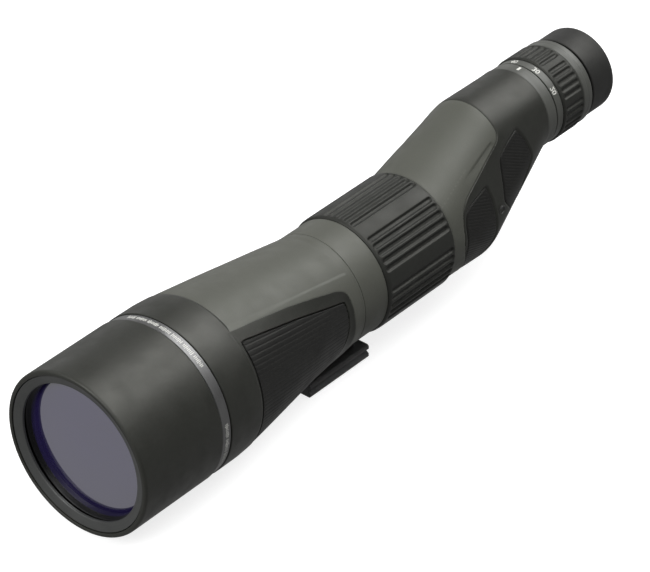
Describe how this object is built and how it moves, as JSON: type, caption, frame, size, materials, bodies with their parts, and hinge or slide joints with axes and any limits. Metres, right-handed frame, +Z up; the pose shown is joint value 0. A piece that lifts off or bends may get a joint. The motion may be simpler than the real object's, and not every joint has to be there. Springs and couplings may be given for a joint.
{
  "type": "spotting scope",
  "caption": "Straight-view spotting scope with a sliding objective hood, barrel focus ring, offset prism housing, zoom eyepiece, twist-up eyecup and a tripod foot.",
  "frame": {"origin": "mouth of the tripod socket, on the underside of the foot", "axes": "+Y from the target towards the eye along the optical axis, +X to the scope's right-hand side as the user sees it, +Z up; -Z points out of the tripod socket"},
  "size_m": [0.103, 0.4535, 0.116],
  "materials": {
    "olive_armour": "matte",
    "saddle_metal": "satin",
    "black_anodised": "matte",
    "front_trim": "satin",
    "glide_plastic": "matte",
    "silver_band": "satin",
    "seal_rubber": "matte",
    "coated_glass": "coated",
    "prism_glass": "polished",
    "pad_rubber": "textured",
    "badge_metal": "satin",
    "spring_steel": "satin",
    "brass": "satin",
    "white_mark": "matte",
    "eyecup_rubber": "matte",
    "foot_black": "satin"
  },
  "bodies": {
    "scope": {"objective_tube": "black_anodised", "name_ring": "silver_band", "lens_retainer": "black_anodised", "objective_oring": "seal_rubber", "objective_cell": "black_anodised", "front_lens": "coated_glass", "lens_spacer": "black_anodised", "rear_lens": "coated_glass", "barrel_shell": "saddle_metal", "barrel_armour": "olive_armour", "side_pad_left": "pad_rubber", "side_pad_right": "pad_rubber", "light_baffles": "black_anodised", "body_tube": "black_anodised", "front_collar": "saddle_metal", "focus_seals": "seal_rubber", "prism_housing": "saddle_metal", "housing_armour": "olive_armour", "housing_pads_left": "pad_rubber", "housing_pads_right": "pad_rubber", "badges": "badge_metal", "front_prism": "prism_glass", "rear_prism": "prism_glass", "prism_plate": "black_anodised", "prism_clips": "spring_steel", "eyepiece_tube": "black_anodised", "index_ring": "saddle_metal", "index_mark": "white_mark", "field_lens": "coated_glass", "field_stop": "black_anodised", "eye_lens": "coated_glass", "eye_lens_cell": "black_anodised", "foot_pedestal": "foot_black", "mount_foot": "foot_black", "foot_screws": "spring_steel", "tripod_bush": "brass", "purge_screw": "spring_steel"},
    "hood": {"hood_armour": "olive_armour", "hood_tube": "black_anodised", "hood_lip_ring": "front_trim", "hood_glide_ring": "glide_plastic"},
    "focus_ring": {"focus_ring_core": "black_anodised", "focus_ring_grip": "olive_armour"},
    "focus_group": {"focus_carriage": "black_anodised", "focus_lens": "coated_glass", "focus_key": "brass"},
    "zoom_ring": {"zoom_scale_ring": "saddle_metal", "zoom_ring_core": "black_anodised", "zoom_ring_grip": "olive_armour", "zoom_end_ring": "saddle_metal"},
    "zoom_front_group": {"zoom_front_cell": "black_anodised", "zoom_front_lens": "coated_glass"},
    "zoom_rear_group": {"zoom_rear_cell": "black_anodised", "zoom_rear_lens": "coated_glass"},
    "eyecup_turner": {"eyecup_key_ring": "brass"},
    "eyecup": {"eyecup_sleeve": "black_anodised", "eyecup_rubber": "eyecup_rubber"}
  },
  "joints": [
    {"name": "hood_slide", "type": "slide", "parent": "scope", "child": "hood", "axis": [0, -1, 0], "range_m": [0, 0.04]},
    {"name": "focus_turn", "type": "hinge", "parent": "scope", "child": "focus_ring", "pos_m": [0, 0.0525, 0.053], "axis": [0, 1, 0], "range_deg": [-200, 200]},
    {"name": "focus_travel", "type": "slide", "parent": "scope", "child": "focus_group", "axis": [0, 1, 0], "range_m": [-0.012, 0.012]},
    {"name": "zoom_turn", "type": "hinge", "parent": "scope", "child": "zoom_ring", "pos_m": [0, 0.2105, 0.0874], "axis": [0, 1, 0], "range_deg": [0, 140]},
    {"name": "zoom_front_travel", "type": "slide", "parent": "scope", "child": "zoom_front_group", "axis": [0, 1, 0], "range_m": [0, 0.0045]},
    {"name": "zoom_rear_travel", "type": "slide", "parent": "scope", "child": "zoom_rear_group", "axis": [0, -1, 0], "range_m": [0, 0.0035]},
    {"name": "eyecup_twist", "type": "hinge", "parent": "scope", "child": "eyecup_turner", "pos_m": [0, 0.2345, 0.0874], "axis": [0, 1, 0], "range_deg": [0, 120]},
    {"name": "eyecup_rise", "type": "slide", "parent": "eyecup_turner", "child": "eyecup", "axis": [0, 1, 0], "range_m": [0, 0.012]}
  ],
  "couplings": [
    {"joint": "focus_travel", "follows": "focus_turn", "m_per_rad": 0.003437},
    {"joint": "zoom_front_travel", "follows": "zoom_turn", "m_per_rad": 0.00184},
    {"joint": "zoom_rear_travel", "follows": "zoom_turn", "m_per_rad": 0.00143},
    {"joint": "eyecup_twist", "follows": "eyecup_rise", "rad_per_m": 174.5}
  ]
}
